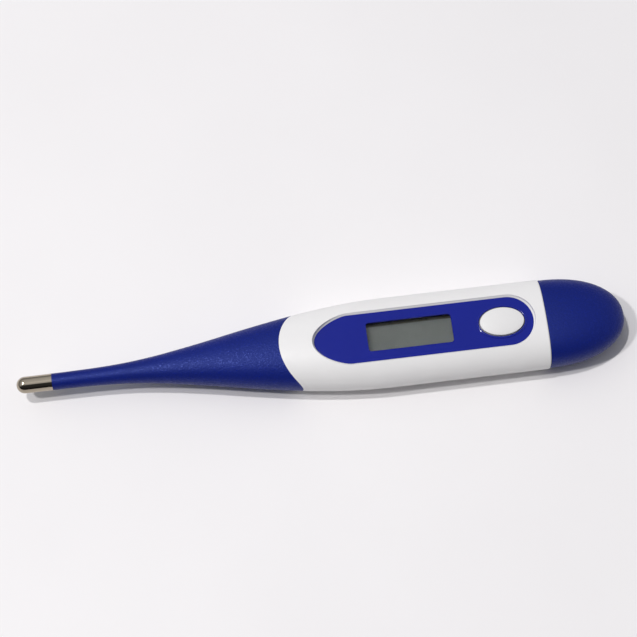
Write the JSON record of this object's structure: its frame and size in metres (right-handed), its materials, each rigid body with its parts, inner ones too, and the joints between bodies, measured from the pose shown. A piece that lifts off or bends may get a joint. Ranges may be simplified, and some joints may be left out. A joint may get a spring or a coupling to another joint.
{
  "type": "digital thermometer",
  "caption": "Flexible-tip digital clinical thermometer with a metal sensor cap, soft tapering stem, recessed display panel, push button and pull-off battery cover.",
  "frame": {"origin": "centre of the footprint on the table, under the middle of the thermometer's length", "axes": "+X along the thermometer from the sensor tip to the battery cover, +Z out of the display face, +Y across"},
  "size_m": [0.14, 0.0212, 0.0121],
  "materials": {
    "white_shell": "satin gloss moulded plastic",
    "blue_soft": "fine grained matte soft elastomer",
    "blue_cover": "fine grained matte plastic",
    "blue_panel": "smooth satin plastic",
    "white_button": "gloss",
    "nickel": "drawn and polished nickel plating",
    "clear_window": "clear polished",
    "lcd_glass": "clear polished",
    "lcd_film": "grey-green polarising film",
    "lcd_mirror": "brushed reflective film",
    "black_plastic": "matte moulded plastic",
    "board_green": "solder masked laminate",
    "zebra_rubber": "layered silicone",
    "clear_silicone": "translucent matte",
    "black_epoxy": "poured epoxy",
    "chip_ceramic": "fired, tinned ends",
    "solder": "bright solder",
    "brass_plate": "rolled",
    "piezo_ceramic": "silvered",
    "wire_red": "insulated wire",
    "contact_steel": "nickel plated spring strip",
    "cell_steel": "drawn stainless can",
    "cell_ring": "moulded ring",
    "seal_rubber": "smooth elastomer",
    "tape": "die-cut tape",
    "potting": "cured epoxy",
    "bead": "glass coated bead",
    "chassis_plastic": "moulded plastic"
  },
  "bodies": {
    "thermometer": {"housing": "white_shell", "stem_root": "blue_soft", "leads_root": "wire_red", "display_panel": "blue_panel", "panel_tape": "tape", "display_lens": "clear_window", "button_seal": "clear_silicone", "snap_dome": "contact_steel", "lcd_polariser": "lcd_film", "lcd_glass": "lcd_glass", "lcd_reflector": "lcd_mirror", "zebra_strip": "zebra_rubber", "lcd_frame": "black_plastic", "circuit_board": "board_green", "chip_blob": "black_epoxy", "chip_components": "chip_ceramic", "solder_joints": "solder", "buzzer_plate": "brass_plate", "buzzer_ceramic": "piezo_ceramic", "buzzer_wires": "wire_red", "chassis": "chassis_plastic", "contact_negative": "contact_steel", "contact_positive": "contact_steel"},
    "button": {"button_cap": "white_button"},
    "cover": {"battery_cover": "blue_cover", "cover_seal": "seal_rubber"},
    "cell": {"button_cell": "cell_steel", "cell_gasket": "cell_ring"},
    "upper_link": {"stem_upper": "blue_soft", "leads_upper": "wire_red"},
    "middle_link": {"stem_middle": "blue_soft", "leads_middle": "wire_red"},
    "lower_link": {"stem_lower": "blue_soft", "leads_lower": "wire_red"},
    "sensor_link": {"stem_tip": "blue_soft", "leads_tip": "wire_red", "sensor_cap": "nickel", "thermistor": "bead", "thermal_potting": "potting"}
  },
  "joints": [
    {"name": "button_press", "type": "slide", "parent": "thermometer", "child": "button", "axis": [0, 0, -1], "range_m": [0, 0.0004], "stiffness_N_per_m": 300, "springref_m": -0.0005, "deforming": ["snap_dome"]},
    {"name": "cover_pull", "type": "slide", "parent": "thermometer", "child": "cover", "axis": [1, 0, 0], "range_m": [0, 0.03]},
    {"name": "cell_draw", "type": "slide", "parent": "thermometer", "child": "cell", "axis": [1, 0, 0], "range_m": [0, 0.012]},
    {"name": "stem_side_upper", "type": "hinge", "parent": "thermometer", "child": "upper_link", "pos_m": [-0.037, 0, 0.00595], "axis": [0, 0, 1], "range_deg": [-15, 15], "stiffness_Nm_per_rad": 0.008},
    {"name": "stem_lift_upper", "type": "hinge", "parent": "upper_link", "child": "middle_link", "pos_m": [-0.043, 0, 0.00595], "axis": [0, 1, 0], "range_deg": [-15, 15], "stiffness_Nm_per_rad": 0.008},
    {"name": "stem_side_lower", "type": "hinge", "parent": "middle_link", "child": "lower_link", "pos_m": [-0.049, 0, 0.00595], "axis": [0, 0, 1], "range_deg": [-15, 15]},
    {"name": "stem_lift_lower", "type": "hinge", "parent": "lower_link", "child": "sensor_link", "pos_m": [-0.055, 0, 0.00595], "axis": [0, 1, 0], "range_deg": [-15, 15]}
  ],
  "couplings": [
    {"joint": "cell_draw", "follows": "cover_pull", "ratio": 0.4},
    {"joint": "stem_side_lower", "follows": "stem_side_upper", "ratio": 1},
    {"joint": "stem_lift_lower", "follows": "stem_lift_upper", "ratio": 1}
  ]
}
